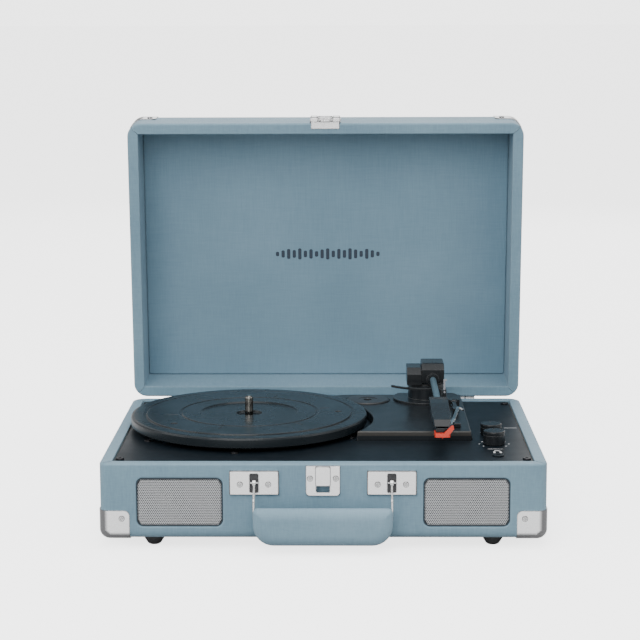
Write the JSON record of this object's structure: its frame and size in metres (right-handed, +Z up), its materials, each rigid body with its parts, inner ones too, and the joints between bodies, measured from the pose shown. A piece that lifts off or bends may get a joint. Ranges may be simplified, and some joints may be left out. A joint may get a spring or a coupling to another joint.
{
  "type": "portable record player",
  "caption": "Suitcase-style portable record player with hinged lid, belt-driven platter, tonearm, front loudspeakers and a carrying handle.",
  "frame": {"origin": "middle of the footprint of the whole player with its lid open, on the floor under the feet", "axes": "+X to the right across the case, +Y from the front face to the hinge side, +Z up"},
  "size_m": [0.3574, 0.3258, 0.3302],
  "materials": {
    "covering": "grained",
    "lining": "grained",
    "wood": "sawn",
    "black_steel": "satin",
    "rubber": "matte",
    "bright_metal": "polished",
    "grille_metal": "satin",
    "speaker_steel": "satin",
    "cone_paper": "matte",
    "deck_black": "satin",
    "platter_black": "satin",
    "arm_black": "satin",
    "clip_grey": "satin",
    "brass": "turned",
    "arm_metal": "satin",
    "stylus_red": "gloss",
    "jack_red_white": "gloss",
    "steel": "satin",
    "board_green": "gloss",
    "board_dark": "gloss"
  },
  "bodies": {
    "case": {"base_case": "covering", "bottom_panel": "wood", "wood_rails": "wood", "black_screws": "black_steel", "foot_front_left": "rubber", "foot_front_right": "rubber", "foot_back_left": "rubber", "foot_back_right": "rubber", "base_corner_guards": "bright_metal", "base_trim_screws": "bright_metal", "grille_left": "grille_metal", "grille_right": "grille_metal", "speaker_frames": "speaker_steel", "speaker_cones": "cone_paper", "handle_brackets": "bright_metal", "latch_plate": "bright_metal", "hinge_leaves_and_pins": "bright_metal", "deck_plate": "deck_black", "chassis": "deck_black", "chassis_springs": "rubber", "spindle": "bright_metal", "spindle_bush": "brass", "drive_motor": "speaker_steel", "drive_belt": "rubber", "arm_base": "deck_black", "arm_rest": "arm_black", "cue_mounts": "deck_black", "control_pots": "steel", "headphone_jack": "arm_black", "jack_plate": "deck_black", "rca_jacks": "jack_red_white", "dc_socket": "arm_black", "circuit_board": "board_green", "board_fittings": "board_dark"},
    "lid": {"lid_case": "covering", "lid_lining": "lining", "hinge_lid_leaves": "bright_metal", "lid_corner_guards": "bright_metal", "lid_trim_screws": "bright_metal", "hasp_plate": "bright_metal"},
    "hasp": {"hasp": "bright_metal"},
    "handle": {"handle_wire": "bright_metal", "handle_grip": "covering"},
    "latch_button": {"latch_button": "bright_metal"},
    "platter": {"platter": "platter_black"},
    "motor_pulley": {"motor_pulley": "brass"},
    "arm_turret": {"arm_turret": "arm_black"},
    "tonearm": {"arm_block": "arm_black", "arm_tube": "arm_metal", "headshell": "arm_black", "cartridge": "arm_black", "stylus": "stylus_red", "finger_lift": "bright_metal"},
    "arm_clip": {"arm_clip": "clip_grey"},
    "lift_bar": {"lift_bar": "arm_black"},
    "cue_lever": {"cue_lever": "arm_black"},
    "volume_knob": {"volume_knob": "arm_black"},
    "mode_knob": {"mode_knob": "arm_black"},
    "speed_lever": {"speed_lever": "arm_black"},
    "record_adapter": {"record_adapter": "deck_black"}
  },
  "joints": [
    {"name": "lid_hinge", "type": "hinge", "parent": "case", "child": "lid", "pos_m": [0, 0.11218, 0.06873], "axis": [1, 0, 0], "range_deg": [0, 85.6]},
    {"name": "hasp_swing", "type": "hinge", "parent": "lid", "child": "hasp", "pos_m": [0, 0.10585, 0.32796], "axis": [-1, 0, 0], "range_deg": [0, 100]},
    {"name": "handle_swing", "type": "hinge", "parent": "case", "child": "handle", "pos_m": [0, -0.14437, 0.0544], "axis": [-1, 0, 0], "range_deg": [0, 100]},
    {"name": "latch_press", "type": "slide", "parent": "case", "child": "latch_button", "axis": [0, 0, -1], "range_m": [0, 0.0054], "stiffness_N_per_m": 250, "springref_m": -0.004},
    {"name": "platter_spin", "type": "hinge", "parent": "case", "child": "platter", "pos_m": [-0.0653, -0.00337, 0.0817], "axis": [0, 0, -1], "continuous": true},
    {"name": "pulley_spin", "type": "hinge", "parent": "case", "child": "motor_pulley", "pos_m": [-0.12081, 0.05214, 0.0644], "axis": [0, 0, -1], "continuous": true},
    {"name": "arm_swing", "type": "hinge", "parent": "case", "child": "arm_turret", "pos_m": [0.091, 0.07663, 0.0915], "axis": [0, 0, -1], "range_deg": [0, 46]},
    {"name": "arm_lift", "type": "hinge", "parent": "arm_turret", "child": "tonearm", "pos_m": [0.096, 0.07663, 0.1], "axis": [-1, 0, 0], "range_deg": [0, 3.2]},
    {"name": "arm_clip_swing", "type": "hinge", "parent": "case", "child": "arm_clip", "pos_m": [0.1024, -0.01537, 0.1016], "axis": [0, -1, 0], "range_deg": [0, 88]},
    {"name": "lift_bar_rise", "type": "slide", "parent": "case", "child": "lift_bar", "axis": [0, 0, 1], "range_m": [0, 0.00235]},
    {"name": "cue_lever_swing", "type": "hinge", "parent": "case", "child": "cue_lever", "pos_m": [0.114, 0.04613, 0.0794], "axis": [-1, 0, 0], "range_deg": [0, 40]},
    {"name": "volume_turn", "type": "hinge", "parent": "case", "child": "volume_knob", "pos_m": [0.141, -0.06937, 0.0683], "axis": [0, 0, -1], "range_deg": [0, 300]},
    {"name": "mode_turn", "type": "hinge", "parent": "case", "child": "mode_knob", "pos_m": [0.141, -0.03537, 0.0683], "axis": [0, 0, -1], "range_deg": [-40, 40]},
    {"name": "speed_slide", "type": "slide", "parent": "case", "child": "speed_lever", "axis": [0, 1, 0], "range_m": [0, 0.012]},
    {"name": "adapter_lift", "type": "slide", "parent": "case", "child": "record_adapter", "axis": [0, 0, 1], "range_m": [0, 0.03]}
  ],
  "couplings": [
    {"joint": "pulley_spin", "follows": "platter_spin", "ratio": 23.131},
    {"joint": "arm_lift", "follows": "cue_lever_swing", "ratio": 0.079999},
    {"joint": "lift_bar_rise", "follows": "cue_lever_swing", "m_per_rad": 0.0033635}
  ]
}
